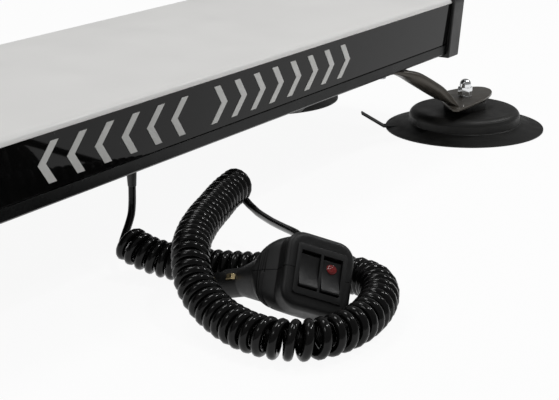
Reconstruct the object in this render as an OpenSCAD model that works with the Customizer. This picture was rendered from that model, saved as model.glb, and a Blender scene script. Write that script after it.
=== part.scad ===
// Illuminated roof sign bar: a long two-faced light box on four suction feet,
// with a coiled supply cord and a lighter-socket plug that has two rocker switches.
// Millimetres. X runs along the bar, the front face looks to -Y, Z is up, the roof is Z = 0.

/* [Light bar] */
// Length over both end caps
bar_len = 866; // [840:1:900]
// Depth of the pan, front rail to rear rail
bar_depth = 217; // [210:1:230]
// Height of the pan's underside over the roof
bar_clear = 78; // [74:1:90]
// Height of the rail under each window
rail_h = 10.4; // [9.5:0.1:13]
// Height of each window
window_h = 43.7; // [41:0.1:48]
// Outward lean of each window in degrees
window_lean = 6.7; // [4:0.1:8]
// Thickness of each window pane
window_t = 3; // [2.5:0.1:3.5]
// Height of the rounded edge of the top cover
edge_h = 6; // [5:0.1:7]
// Rise of the top cover from its edge to its middle
crown_h = 4; // [2:0.1:6]
// Wall of the pan's rails
rail_wall = 3; // [2.5:0.1:3.5]
// Floor thickness of the pan
pan_floor = 2.5; // [2:0.1:3]
// Skin thickness of the top cover
cover_t = 2.5; // [2:0.1:3]

/* [Window legend] */
// Height of the chevrons
legend_h = 31.3; // [24:0.1:34]
// Stroke of the chevrons along the bar
legend_stroke = 8; // [5:0.5:10]
// Reach of each chevron's point
legend_reach = 12; // [8:0.5:14]
// Thickness of the printed film
legend_t = 0.4; // [0.2:0.1:0.6]

/* [End caps] */
// Length of each end cap
cap_len = 26; // [22:1:32]
// End wall of each cap
cap_wall = 5; // [4:0.5:6]
// How far a cap stands out past the body all round
cap_proud = 3.5; // [2.5:0.1:4.5]
// Gap between the cap's skirt and the body
cap_gap = 0.3; // [0.2:0.05:0.5]
// Thickness of the end seals
seal_t = 1.5; // [1:0.1:2]

/* [Lamp unit] */
// Depth of the carrier's box section
carrier_w = 34; // [30:1:40]
// Height of the carrier's box section
carrier_h = 40; // [36:1:44]
// Wall of the carrier
carrier_wall = 1.6; // [1.2:0.1:2]
// Length of the carrier and the lamp boards
carrier_len = 720; // [680:10:760]
// Lamps along each board
lamp_columns = 18; // [10:1:24]

/* [Feet] */
// Radius of the suction skirt
skirt_r = 82.5; // [78:0.5:88]
// Radius of the foot housing
housing_r = 58; // [56:0.5:60]
// Height of the foot housing's top
housing_z = 21; // [20:0.5:23]
// Distance of each foot's axis from the bar's end
foot_inset = 13; // [8:1:20]
// Distance of each foot's axis outside the rail
foot_out = 17.3; // [15:0.1:22]
// Width of the pull tab
tab_w = 11; // [8:0.5:14]
// Reach of the pull tab past the skirt
tab_reach = 26; // [22:1:34]

/* [Cord] */
// Cord diameter
cord_d = 6; // [5.8:0.1:6.2]
// Outer diameter of the coil
coil_d = 28.5; // [27:0.5:29]

/* [Plug] */
// Width of the plug's head along the rockers
head_w = 57; // [54:0.5:60]
// Width of the plug's head across the rockers
head_h = 52; // [50:0.5:54]
// Radius of the plug's barrel
barrel_r = 10.5; // [10:0.1:10.7]
// Rocker length
rocker_l = 26.7; // [25:0.1:27.5]
// Rocker width
rocker_w = 14.2; // [13:0.1:14.8]
// Tilt of each rocker to either side in degrees
rocker_tilt = 7; // [5:0.5:8]
// Diameter of the pilot lens
lens_d = 8; // [5:0.5:9]

/* [Hidden] */
$fn = 64;

// heights of the bar
z_pan = bar_clear;
z_rail = z_pan + rail_h;
z_win = z_rail + window_h;
z_edge = z_win + edge_h;
z_top = z_edge + crown_h;
half_d = bar_depth / 2;
body_len = bar_len - 2 * (cap_wall + seal_t);
lip_t = 2;
lip_h = 7;
lip_gap = 0.2;
shelf_t = 2.5;
groove_h = 1;
groove_d = 1.2;
crown_steps = 6;
corner_r = 1.5;

// screw ports for the end caps
port_r = 3.4;
port_bore = 1.6;
port_len = 30;
port_depth = 22;
pan_port_y = 70;
cover_port_y = 85;
pan_port_z = z_pan + pan_floor + 3.2;
cover_port_z = crown_z(cover_port_y) - cover_t - 2.9;
cap_bore = 2.1;
cap_sink_r = 4.3;
cap_sink_h = 3;
screw_head_r = 3.9;
screw_head_h = 2.6;
screw_reach = 14;

// lamp unit and driver
board_t = 1.6;
board_h = 30;
board_z = z_pan + pan_floor + 6;
lamp_s = 5;
lamp_t = 1.6;
lamp_rows = 2;
driver_x = 25;
driver_y = -44;
driver_len = 90;
driver_w = 44;
post_r = 3;
post_h = 8;
post_x = driver_len / 2 - 5;
post_y = driver_w / 2 - 5;
driver_z = z_pan + pan_floor + post_h;
term_len = 12;
term_w = 20;
term_h = 11;
wire_d = 3;
wire_z = driver_z + board_t + 5.1;
wire_end = carrier_w / 2 + board_t + 0.1;

// cord gland
gland_x = -72;
gland_y = -80;
gland_r = 6;
gland_flange_r = 10;
gland_flange_h = 4;
gland_nut_r = 9;
gland_nut_h = 4;
relief_r0 = 4.4;
relief_r1 = 3.4;
relief_len = 18;
z_relief = z_pan - gland_flange_h - relief_len;

// feet
foot_x = bar_len / 2 - foot_inset;
foot_y = half_d + foot_out;
skirt_hub_r = 51;
skirt_top = 7;
skirt_low = 3;
skirt_lip_t = 1.2;
housing_round = 8;
cup_r = 46;
cup_wall = 4;
cup_top = 16;
cup_floor = 4;
cup_low = 1;
magnet_low = 1.6;
magnet_in_r = 12;
stud_r = 4;
stud_gap = 0.3;
stud_head_r = 9;
stud_head_h = 3;
hub_r = 22;
hub_h = 9;
z_leaf = housing_z + hub_h;
leaf_t = 3.5;
washer_r = 7;
washer_t = 1.6;
nut_af = 13;
nut_h = 8.5;
dome_r = 6.1;
dome_h = 8.5;
nut_lap = 0.5;
tab_root = 20;
tab_t = 1.4;
tab_rise = 17;
tab_turn = 123.6;
bolt_r = 3;
bolt_gap = 0.25;
bolt_head_r = 5.6;
bolt_head_h = 4;
bolt_nut_h = 5;
bolt_spots = [[-134, 42], [-116, 36.9]];
tab_z = z_pan - leaf_t / 2;
leaf_mid = z_leaf + leaf_t / 2;
leg_sides = 24;

// leg rings: x, y, height share, half width, half thickness, turn, roundness, groove
leg_rings = [
  [-141, 44, 1, 11, 1.75, 72, 0.3, 0],
  [-106, 34, 1, 11, 1.75, 72, 0.3, 0],
  [-97, 29.5, 0.955, 11.5, 3, 72, 0.5, 0.1],
  [-88, 25, 0.89, 12, 5, 73, 0.8, 0.4],
  [-79, 21, 0.79, 12.3, 6.6, 74, 0.85, 0.55],
  [-69, 17.3, 0.655, 12.3, 7, 75, 0.85, 0.6],
  [-58, 13.6, 0.5, 12.5, 7, 75, 0.85, 0.6],
  [-49, 10.5, 0.37, 13, 6.8, 73, 0.85, 0.55],
  [-42, 8, 0.25, 15, 5.8, 67, 0.8, 0.4],
  [-35.5, 6.3, 0.14, 20, 4, 58, 0.7, 0.2],
  [-29, 5, 0.05, 26, 2.4, 49, 0.5, 0],
  [-20, 4, 0, 29, 1.2, 42, 0.3, 0]
];

// leaf outline around the foot's axis
leaf_outline = [
  [-54, -18.5], [-49, -19.8], [-30, -20.8], [-3, -21.2], [14, -20], [28, -17],
  [38, -13], [45, -7.5], [49, -1], [49.5, 5], [46, 11.5], [38, 18], [26, 23.5],
  [13, 27.5], [3, 28.5], [-8, 26.5], [-22, 17], [-36, 5], [-48, -6], [-55, -14]
];

// cord routes: straight lead, middle line of the coil, tail to the plug, lead inside the bar
lead_route = [
  [gland_x, gland_y, z_relief], [-72.3, -80, 47.1], [-73.2, -80.2, 40], [-75.5, -80.9, 33.5],
  [-80.5, -82.2, 27.5], [-87.5, -84.6, 22.6], [-95.5, -88.2, 18.6], [-103, -92.4, 15.6],
  [-108, -97, 13.9], [-110, -103, 13.6], [-110, -108, 13.6]
];
coil_route = [
  [-110, -106, 25], [-110, -119, 21], [-108, -130, 18], [-105, -140, 16],
  [-101, -157, 14.7], [-97, -174, 14.5], [-89, -195, 14.5], [-79, -216, 14.5],
  [-68, -238, 14.5], [-58, -258, 14.5], [-54, -276, 14.5], [-60, -292, 14.5],
  [-78, -306, 14.5], [-102, -315, 14.5], [-128, -319, 14.5], [-152, -316, 14.5],
  [-171, -306, 14.5], [-181, -288, 14.5], [-182, -266, 15], [-177, -244, 17],
  [-170, -224, 22], [-160, -206, 30], [-143, -190, 40], [-120, -175, 44],
  [-90, -161, 46], [-57, -149, 47], [-31, -140, 48], [-5, -134, 49]
];
tail_route = [
  [-6.5, -128, 37.9], [-5, -134, 37.1], [-4.5, -139, 35.2], [-5.5, -145, 33], [-8, -151, 31.8],
  [-13, -158, 31.6], [-22, -169.8, 32.8], [-38, -189.3, 36.2], [-55, -210, 40.7],
  [-66, -223.3, 43.9], [-75, -234.4, 46.2], [-80.6, -240.9, 46.8], [-85.85, -246.9, 46.81]
];
inner_route = [
  [gland_x, gland_y, z_pan + pan_floor + gland_nut_h], [-71.5, -79.8, z_pan + 12],
  [-68, -77, z_pan + 20], [-60, -69, z_pan + 24], [-50, -58, z_pan + 24],
  [-42, -49, z_pan + 21], [-35, driver_y, z_pan + 18], [-28, driver_y, z_pan + 17],
  [driver_x - driver_len / 2, driver_y, z_pan + 17]
];
front_wire = [
  [driver_x + 20, driver_y + 15, wire_z], [driver_x + 20, driver_y + 15, wire_z + 4],
  [driver_x + 18.5, driver_y + 17, wire_z + 6.4], [driver_x + 15.5, -23.5, wire_z + 7],
  [driver_x + 15, -21, wire_z + 7], [driver_x + 15, -wire_end, wire_z + 7]
];
rear_wire = [
  [driver_x + 20, driver_y + 9, wire_z], [driver_x + 20, driver_y + 9, wire_z + 7],
  [driver_x + 21.5, driver_y + 11, wire_z + 15], [driver_x + 23.5, driver_y + 15.5, wire_z + 22.5],
  [driver_x + 24, -22.5, wire_z + 27.5], [driver_x + 24, -12, wire_z + 29],
  [driver_x + 24, 12, wire_z + 29], [driver_x + 24, 19.5, wire_z + 27],
  [driver_x + 24, 25, wire_z + 22], [driver_x + 24, 26.5, wire_z + 16],
  [driver_x + 24, 25, wire_z + 11], [driver_x + 24, 22.5, wire_z + 9],
  [driver_x + 24, 20.5, wire_z + 8.7], [driver_x + 24, wire_end, wire_z + 8.7]
];
coil_sides = 12;
cord_sides = 10;

// plug pose: middle of the face, then turns about X, Y and Z
plug_at = [-110.7, -276.8, 34.8];
plug_turn = [-23.66, -47.31, 21.34];

// plug head and barrel
face_tilt = 57.3;
face_round = 4;
face_corner = 13;
head_full = 13;
head_wall = 2.2;
neck_y = 46;
neck_r = 16.5;
barrel_y = 64;
barrel_end = 76;
barrel_wall = 2;
collar_h = 4;
groove_spots = [0.58, 0.5, 0.42, 0.34];
shoulder_bulge = 1.8;
head_side_points = 6;
rib_gap = 0.035;
rib_cut = 0.8;
seam_far = 60;

// switch insert in the face
rocker_gap = 0.3;
rocker_bar = 2;
rocker_off = rocker_w / 2 + rocker_gap + rocker_bar / 2;
well_l = rocker_l + 0.9;
well_w = rocker_w + 2 * rocker_gap;
well_wall = 1.2;
well_depth = 11.5;
insert_l = well_l + 2 * well_wall;
insert_w = 2 * (rocker_off + well_w / 2 + well_wall);
insert_floor = 1.6;
bezel_l = 37;
bezel_w = 38;
bezel_t = 1.4;
bezel_corner = 2;
pivot_z = -4;
pivot_r = 1.2;
pivot_gap = 0.05;
pivot_reach = 0.8;
rocker_top = 5.5;
rocker_dish = 1.5;
lens_x = 5.5;
lens_sink = 1.2;
lens_rise = 1.1;
blade_w = 4.8;
blade_t = 0.8;
blade_h = 7;
blade_spots = [-8, 0, 8];

// moving contacts of the plug
nose_r = 9;
nose_in_r = 5;
nose_y = 90;
nose_skirt = 2;
tip_r = 3.6;
tip_y = 99;
tip_flange_r = 5.4;
tip_flange_t = 2;
tip_gap = 0.1;
fuse_r = 3.1;
fuse_len = 25;
spring_r = 3;
spring_wire = 0.7;
spring_turns = 4;
spring_len = 10;
side_y = 68.5;
side_w = 4;
side_len = 8;
side_out = 12.4;
side_gap = 0.3;
side_flange = 1;
side_pad = 1.2;
boss_r = 3;
boss_bore = 1.25;
boss_spots = [[25, -11], [31, 7.5]];
boss_reach = [22.9, 24.2];
plug_screw_head_r = 2.5;
plug_screw_head_h = 2;
grommet_at = [23.62, 15.29, -2.96];
grommet_r = 4.6;
grommet_mouth_r = 4;
grommet_len = 13;
grommet_root = 4;
grommet_tip = 112.33;
grommet_turn = 46.45;

// outer face of a window at height z, and the crown of the cover at depth y
function face_y(z) = half_d + (z - z_rail) * tan(window_lean);
function crown_z(y) = z_edge + crown_h * (1 - pow(y / (face_y(z_win) - edge_h), 2));

function arc(c, r, a0, a1, n) = [
  for (i = [0 : n])
    let (a = a0 + (a1 - a0) * i / n)
      [c[0] + r * cos(a), c[1] + r * sin(a)]
];
function mirrored(p) = [for (i = [len(p) - 1 : -1 : 0]) [-p[i][0], p[i][1]]];
function both(p) = concat(p, mirrored(p));
function unit(v) = v / norm(v);
function rounded(w, h, r) = concat(
  arc([w / 2 - r, h / 2 - r], r, 0, 90, 6),
  arc([r - w / 2, h / 2 - r], r, 90, 180, 6),
  arc([r - w / 2, r - h / 2], r, 180, 270, 6),
  arc([w / 2 - r, r - h / 2], r, 270, 360, 6)
);

// whole outline of the body, grown by g, from the middle of the floor to the middle of the top
function body_half(g) = concat(
  arc([half_d + g - corner_r, z_pan - g + corner_r], corner_r, -90, 0, 3),
  [[half_d + g, z_rail], [face_y(z_win) + g, z_win]],
  arc([face_y(z_win) - edge_h, z_win], edge_h + g, 15, 90, 5),
  [for (i = [1 : crown_steps]) cover_point(i, g)]
);
function cover_point(i, g) =
  let (y = (face_y(z_win) - edge_h) * (1 - i / crown_steps))
    [y, crown_z(y) + g];

// tube along a route of points, with rings turned as little as possible
function tangent(p, i) = unit(p[min(i + 1, len(p) - 1)] - p[max(i - 1, 0)]);
function side_start(t) = abs(t[2]) > 0.9 ? unit(cross(t, [1, 0, 0])) : unit(cross(t, [0, 0, 1]));
function side_at(p, i) =
  i == 0
    ? side_start(tangent(p, 0))
    : let (s = side_at(p, i - 1), t = tangent(p, i)) unit(s - (s * t) * t);
function ring_points(p, i, r, n) =
  let (t = tangent(p, i), s = side_at(p, i), q = cross(t, s))
    [for (k = [0 : n - 1]) p[i] + r * (s * cos(360 * k / n) + q * sin(360 * k / n))];
function tube_points(p, r, n) = [
  for (i = [0 : len(p) - 1])
    for (v = ring_points(p, i, r, n)) v
];
function tube_faces(m, n) = concat(
  [[for (k = [0 : n - 1]) k]],
  [for (i = [0 : m - 2])
    for (k = [0 : n - 1])
      [(i + 1) * n + (k + 1) % n, i * n + (k + 1) % n, i * n + k]],
  [for (i = [0 : m - 2])
    for (k = [0 : n - 1])
      [(i + 1) * n + k, (i + 1) * n + (k + 1) % n, i * n + k]],
  [[for (k = [n - 1 : -1 : 0]) (m - 1) * n + k]]
);

module tube(p, r, n) {
  polyhedron(points = tube_points(p, r, n), faces = tube_faces(len(p), n));
}

// section in Y and Z run along X
module along_x(length) {
  translate([-length / 2, 0, 0])
    rotate([90, 0, 90])
      linear_extrude(length)
        children();
}
module rod_x(x0, length, y, z, r) {
  translate([x0, y, z])
    rotate([0, 90, 0])
      cylinder(r = r, h = length);
}
module on_front() {
  mid = (z_rail + z_win) / 2;
  translate([0, -face_y(mid), mid])
    rotate([90 + window_lean, 0, 0])
      children();
}
module front_and_rear() {
  children();
  rotate([0, 0, 180])
    children();
}
module four_feet() {
  for (sx = [0, 1])
    for (sy = [0, 1])
      at_foot(sx, sy)
        children();
}
module at_foot(sx, sy) {
  mirror([sx, 0, 0])
    mirror([0, sy, 0])
      translate([foot_x, -foot_y, 0])
        children();
}
module in_plug() {
  translate(plug_at)
    rotate(plug_turn)
      children();
}
module on_plug_face() {
  in_plug()
    rotate([face_tilt, 0, 0])
      children();
}
module round_y() {
  rotate([-90, 0, 0])
    children();
}

module pan_section() {
  lip_y = window_t + lip_gap;
  z_lip = z_rail + lip_h;
  half = [
    [half_d - corner_r, z_pan],
    [half_d, z_pan + corner_r],
    [half_d, z_rail],
    [half_d - lip_y, z_rail],
    [face_y(z_lip) - lip_y, z_lip],
    [face_y(z_lip) - lip_y - lip_t, z_lip],
    [half_d - lip_y - lip_t, z_rail - shelf_t],
    [half_d - rail_wall, z_rail - shelf_t],
    [half_d - rail_wall, z_pan + pan_floor]
  ];
  polygon(both(half));
}
module cap_ports(y, z) {
  for (s = [-1, 1])
    for (x = [-body_len / 2, body_len / 2 - port_len])
      rod_x(x, port_len, s * y, z, port_r);
}
module cap_port_bores(y, z) {
  for (s = [-1, 1])
    for (x = [-body_len / 2 - 1, body_len / 2 - port_depth])
      rod_x(x, port_depth + 1, s * y, z, port_bore);
}
module base_pan() {
  color("dimgray")
    difference() {
      union() {
        along_x(body_len)
          pan_section();
        cap_ports(pan_port_y, pan_port_z);
      }
      cap_port_bores(pan_port_y, pan_port_z);
      translate([gland_x, gland_y, z_pan - 1])
        cylinder(r = gland_r, h = pan_floor + 2);
      four_feet()
        for (b = bolt_spots)
          translate([b[0], b[1], z_pan - 1])
            cylinder(r = bolt_r + bolt_gap, h = pan_floor + 2);
    }
}
module cover_section() {
  lip_y = window_t + lip_gap;
  z_lip = z_win - lip_h;
  inner_y = face_y(z_win) - lip_y - lip_t;
  outer = concat(
    [[face_y(z_win), z_win]],
    arc([face_y(z_win) - edge_h, z_win], edge_h, 15, 90, 5),
    [for (i = [1 : crown_steps]) cover_point(i, 0)]
  );
  inner = concat(
    [for (i = [crown_steps : -1 : 1]) cover_point(i, -cover_t)],
    [[inner_y, z_win + edge_h - cover_t - 1]],
    [[face_y(z_lip) - lip_y - lip_t, z_lip]],
    [[face_y(z_lip) - lip_y, z_lip], [face_y(z_win) - lip_y, z_win]]
  );
  shape = concat(outer, inner);
  polygon(shape);
  mirror([1, 0])
    polygon(shape);
}
module top_cover() {
  color("whitesmoke")
    difference() {
      union() {
        along_x(body_len)
          cover_section();
        cap_ports(cover_port_y, cover_port_z);
      }
      cap_port_bores(cover_port_y, cover_port_z);
    }
}
module window_pane() {
  along_x(body_len)
    polygon([
      [half_d - window_t, z_rail],
      [half_d - groove_d, z_rail],
      [face_y(z_rail + groove_h) - groove_d, z_rail + groove_h],
      [face_y(z_rail + groove_h), z_rail + groove_h],
      [face_y(z_win), z_win],
      [face_y(z_win) - window_t, z_win]
    ]);
}
module front_window() {
  color("black")
    rotate([0, 0, 180])
      window_pane();
}
module rear_window() {
  color("black")
    window_pane();
}
module chevron(x, way) {
  translate([x, 0])
    scale([way, 1])
      polygon([
        [0, legend_h / 2], [legend_stroke, legend_h / 2], [legend_stroke + legend_reach, 0],
        [legend_stroke, -legend_h / 2], [0, -legend_h / 2], [legend_reach, 0]
      ]);
}
module legend_film() {
  on_front()
    linear_extrude(legend_t) {
      for (i = [0 : 5])
        chevron(-188 + 29.6 * i, -1);
      for (i = [0 : 7])
        chevron(-6 + 27.6 * i, 1);
    }
}
module front_legend() {
  color("white")
    legend_film();
}
module rear_legend() {
  color("white")
    rotate([0, 0, 180])
      legend_film();
}
module cap_slice(x, g) {
  translate([x, 0, 0])
    rotate([90, 0, 90])
      linear_extrude(0.01)
        polygon(both(body_half(g)));
}
module end_cap() {
  x_in = bar_len / 2 - cap_len;
  x_end = bar_len / 2;
  difference() {
    hull() {
      cap_slice(x_in, cap_proud - 0.8);
      cap_slice(x_in + 0.8, cap_proud);
      cap_slice(x_end - 5, cap_proud);
      cap_slice(x_end - 1.8, cap_proud - 1.4);
      cap_slice(x_end - 0.01, cap_proud - 4.5);
    }
    translate([x_in - 1, 0, 0])
      rotate([90, 0, 90])
        linear_extrude(cap_len - cap_wall + 1)
          polygon(both(body_half(cap_gap)));
    for (s = [-1, 1])
      for (q = [[pan_port_y, pan_port_z], [cover_port_y, cover_port_z]]) {
        rod_x(x_end - cap_wall - 1, cap_wall + 2, s * q[0], q[1], cap_bore);
        rod_x(x_end - cap_sink_h, cap_sink_h + 1, s * q[0], q[1], cap_sink_r);
      }
  }
}
module end_cap_right() {
  color("black")
    end_cap();
}
module end_cap_left() {
  color("black")
    rotate([0, 0, 180])
      end_cap();
}
module end_seals() {
  color("dimgray")
    front_and_rear()
      translate([body_len / 2, 0, 0])
        rotate([90, 0, 90])
          linear_extrude(seal_t)
            difference() {
              polygon(both(body_half(-0.4)));
              polygon(both(seal_inside()));
            }
}
function seal_inside() = [
  [half_d - 3.4, z_pan + 3],
  [half_d - 3.4, z_rail],
  [face_y(z_win) - 3.4, z_win],
  [face_y(z_win) - edge_h - 2, z_edge - 3.2],
  [0, z_top - 3.2]
];
module cap_screws() {
  color("silver")
    front_and_rear()
      for (s = [-1, 1])
        for (q = [[pan_port_y, pan_port_z], [cover_port_y, cover_port_z]]) {
          rod_x(bar_len / 2 - cap_sink_h, screw_head_h, s * q[0], q[1], screw_head_r);
          rod_x(bar_len / 2 - cap_sink_h - screw_reach, screw_reach, s * q[0], q[1], port_bore);
        }
}

module led_carrier() {
  color("silver")
    along_x(carrier_len)
      translate([0, z_pan + pan_floor])
        difference() {
          translate([-carrier_w / 2, 0])
            square([carrier_w, carrier_h]);
          translate([-carrier_w / 2 + carrier_wall, carrier_wall])
            square([carrier_w - 2 * carrier_wall, carrier_h - 2 * carrier_wall]);
        }
}
module lamp_board() {
  translate([-carrier_len / 2, carrier_w / 2, board_z])
    cube([carrier_len, board_t, board_h]);
}
module front_led_board() {
  color("darkgreen")
    rotate([0, 0, 180])
      lamp_board();
}
module rear_led_board() {
  color("darkgreen")
    lamp_board();
}
module lamps() {
  pitch = carrier_len / lamp_columns;
  for (i = [0 : lamp_columns - 1])
    for (j = [0 : lamp_rows - 1])
      translate([
        -carrier_len / 2 + pitch * (i + 0.5) - lamp_s / 2,
        carrier_w / 2 + board_t,
        board_z + 6 + 14 * j
      ])
        cube([lamp_s, lamp_t, lamp_s]);
}
module front_leds() {
  color("khaki")
    rotate([0, 0, 180])
      lamps();
}
module rear_leds() {
  color("khaki")
    lamps();
}
module driver_board() {
  color("darkgreen")
    translate([driver_x - driver_len / 2, driver_y - driver_w / 2, driver_z])
      difference() {
        cube([driver_len, driver_w, board_t]);
        translate([driver_len / 2, driver_w / 2, -1])
          post_places()
            cylinder(r = post_r / 2, h = board_t + 2);
      }
}
module post_places() {
  for (sx = [-1, 1])
    for (sy = [-1, 1])
      translate([sx * post_x, sy * post_y, 0])
        children();
}
module board_posts() {
  color("gray")
    translate([driver_x, driver_y, z_pan + pan_floor])
      post_places() {
        cylinder(r = post_r, h = post_h);
        cylinder(r = post_r / 2, h = post_h + board_t + 1);
      }
}
module driver_parts() {
  z = driver_z + board_t;
  color("black") {
    translate([driver_x - 20, driver_y - 8, z])
      cylinder(r = 5, h = 12);
    translate([driver_x - 20, driver_y + 8, z])
      cylinder(r = 5, h = 12);
    translate([driver_x - 8, driver_y - 6, z])
      cube([12, 12, 7]);
    translate([driver_x + 10, driver_y - 14, z])
      cube([9, 7, 2]);
    translate([driver_x + 28, driver_y - 5, z])
      cube([6, 10, 5]);
    translate([driver_x + 14, driver_y + 6, z])
      cube([12, 12.5, 5]);
  }
}
module terminal_block() {
  color("green")
    translate([driver_x - driver_len / 2, driver_y - term_w / 2, driver_z + board_t])
      difference() {
        cube([term_len, term_w, term_h]);
        for (i = [-1, 1])
          translate([term_len / 2, term_w / 2 + 5 * i, term_h - 3])
            cylinder(r = 1.8, h = 4);
      }
}
module inner_lead() {
  color("black")
    tube(inner_route, cord_d / 2, cord_sides);
}
module board_wires() {
  color("red")
    tube(front_wire, wire_d / 2, 8);
  color("red")
    tube(rear_wire, wire_d / 2, 8);
}
module cable_gland() {
  color("black")
    translate([gland_x, gland_y, 0])
      rotate_extrude()
        polygon([
          [0, z_relief], [relief_r1, z_relief], [relief_r0, z_pan - gland_flange_h],
          [gland_flange_r, z_pan - gland_flange_h], [gland_flange_r, z_pan],
          [gland_r, z_pan], [gland_r, z_pan + pan_floor],
          [gland_nut_r, z_pan + pan_floor], [gland_nut_r, z_pan + pan_floor + gland_nut_h],
          [0, z_pan + pan_floor + gland_nut_h]
        ]);
}

function leg_mid(i) = [
  leg_rings[i][0],
  leg_rings[i][1],
  leaf_mid + leg_rings[i][2] * (tab_z - leaf_mid)
];
function leg_path() = [for (i = [0 : len(leg_rings) - 1]) leg_mid(i)];
function swell(c, e) = sign(c) * pow(abs(c), e);
function leg_point(i, a) =
  let (
    q = leg_rings[i],
    s = [cos(q[5]), sin(q[5]), 0],
    u = unit(cross(tangent(leg_path(), i), s)),
    dip = sin(a) > 0 ? q[7] * max(0, 1 - pow(cos(a) / 0.55, 2)) : 0
  )
    leg_mid(i) + s * q[3] * swell(cos(a), q[6]) + u * q[4] * swell(sin(a), q[6]) * (1 - dip);
module leg() {
  n = leg_sides;
  pts = [for (i = [0 : len(leg_rings) - 1]) for (k = [0 : n - 1]) leg_point(i, 360 * (k + 0.5) / n)];
  difference() {
    union() {
      polyhedron(points = pts, faces = tube_faces(len(leg_rings), n));
      translate([0, 0, z_leaf])
        linear_extrude(leaf_t)
          polygon(leaf_outline);
    }
    translate([0, 0, z_leaf - 1])
      cylinder(r = stud_r + stud_gap, h = leaf_t + 2);
    for (b = bolt_spots)
      translate([b[0], b[1], z_pan - 2 * leaf_t])
        cylinder(r = bolt_r + bolt_gap, h = 3 * leaf_t);
  }
}
module leg_front_right() {
  color("dimgray")
    at_foot(0, 0)
      leg();
}
module leg_front_left() {
  color("dimgray")
    at_foot(1, 0)
      leg();
}
module leg_rear_right() {
  color("dimgray")
    at_foot(0, 1)
      leg();
}
module leg_rear_left() {
  color("dimgray")
    at_foot(1, 1)
      leg();
}
module leg_bolts() {
  color("silver")
    four_feet()
      for (b = bolt_spots)
        translate([b[0], b[1], z_pan - leaf_t]) {
          translate([0, 0, -bolt_head_h])
            cylinder(r = bolt_head_r, h = bolt_head_h, $fn = 6);
          cylinder(r = bolt_r, h = leaf_t + pan_floor + bolt_nut_h + 1);
        }
}
module leg_nuts() {
  color("silver")
    four_feet()
      for (b = bolt_spots)
        translate([b[0], b[1], z_pan + pan_floor])
          difference() {
            cylinder(r = bolt_head_r, h = bolt_nut_h, $fn = 6);
            translate([0, 0, -1])
              cylinder(r = bolt_r, h = bolt_nut_h + 2);
          }
}

module skirt() {
  rotate_extrude()
    polygon([
      [skirt_hub_r, skirt_low], [housing_r - 1, skirt_low], [skirt_r - 2.5, 0],
      [skirt_r, 0], [skirt_r, skirt_lip_t], [housing_r + 12, skirt_top - 3.6],
      [housing_r + 0.6, skirt_top - 0.6], [housing_r, skirt_top], [skirt_hub_r, skirt_top]
    ]);
  rotate([90, 0, tab_turn])
    translate([0, 0, -tab_w / 2])
      linear_extrude(tab_w)
        polygon([
          [skirt_r - tab_root, 3.2], [skirt_r - 4, 1], [skirt_r + 3, 1.5],
          [skirt_r + tab_reach, tab_rise - tab_t],
          [skirt_r + tab_reach - 0.8, tab_rise], [skirt_r + 2, 1.5 + tab_t],
          [skirt_r - 6, 2.9], [skirt_r - tab_root, 4]
        ]);
}
module skirt_front_right() {
  color("black")
    at_foot(0, 0)
      skirt();
}
module skirt_front_left() {
  color("black")
    at_foot(1, 0)
      skirt();
}
module skirt_rear_right() {
  color("black")
    at_foot(0, 1)
      skirt();
}
module skirt_rear_left() {
  color("black")
    at_foot(1, 1)
      skirt();
}
module foot_housings() {
  color("black")
    four_feet()
      rotate_extrude()
        polygon(concat(
          [[stud_r + stud_gap, cup_top], [cup_r, cup_top], [cup_r, skirt_low]],
          [[skirt_hub_r, skirt_low], [skirt_hub_r, skirt_top], [housing_r, skirt_top]],
          arc([housing_r - housing_round, housing_z - housing_round], housing_round, 0, 90, 8),
          [[stud_r + stud_gap, housing_z]]
        ));
}
module magnet_cups() {
  color("silver")
    four_feet()
      rotate_extrude()
        polygon([
          [stud_r, cup_top], [cup_r, cup_top], [cup_r, cup_low], [cup_r - cup_wall, cup_low],
          [cup_r - cup_wall, cup_top - cup_floor], [stud_r, cup_top - cup_floor]
        ]);
}
module magnets() {
  color("gray")
    four_feet()
      rotate_extrude()
        polygon([
          [magnet_in_r, magnet_low], [cup_r - cup_wall - 0.5, magnet_low],
          [cup_r - cup_wall - 0.5, cup_top - cup_floor], [magnet_in_r, cup_top - cup_floor]
        ]);
}
module foot_hubs() {
  color("black")
    four_feet()
      translate([0, 0, housing_z])
        difference() {
          cylinder(r = hub_r, h = hub_h);
          translate([0, 0, -1])
            cylinder(r = stud_r + stud_gap, h = hub_h + 2);
        }
}
module foot_studs() {
  z_head = cup_top - cup_floor - stud_head_h;
  color("silver")
    four_feet() {
      translate([0, 0, z_head])
        cylinder(r = stud_head_r, h = stud_head_h);
      translate([0, 0, z_head])
        cylinder(r = stud_r, h = z_leaf + leaf_t + washer_t + nut_h - z_head);
    }
}
module foot_washers() {
  color("silver")
    four_feet()
      translate([0, 0, z_leaf + leaf_t])
        difference() {
          cylinder(r = washer_r, h = washer_t);
          translate([0, 0, -1])
            cylinder(r = stud_r + stud_gap, h = washer_t + 2);
        }
}
module foot_nuts() {
  color("silver")
    four_feet()
      translate([0, 0, z_leaf + leaf_t + washer_t])
        difference() {
          union() {
            cylinder(r = nut_af / sqrt(3), h = nut_h, $fn = 6);
            translate([0, 0, nut_h - nut_lap])
              rotate_extrude()
                polygon(concat(
                  [[0, 0], [dome_r, 0]],
                  arc([0, dome_h + nut_lap - dome_r], dome_r, 0, 85, 8),
                  [[0, dome_h + nut_lap - dome_r * (1 - sin(85))]]
                ));
          }
          translate([0, 0, -1])
            cylinder(r = stud_r, h = nut_h + 1);
        }
}

module cord_lead() {
  color("black")
    tube(lead_route, cord_d / 2, cord_sides);
}
module cord_coil() {
  color("black")
    tube(coil_route, coil_d / 2, coil_sides);
}
module cord_tail() {
  color("black")
    tube(tail_route, cord_d / 2, cord_sides);
}

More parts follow.
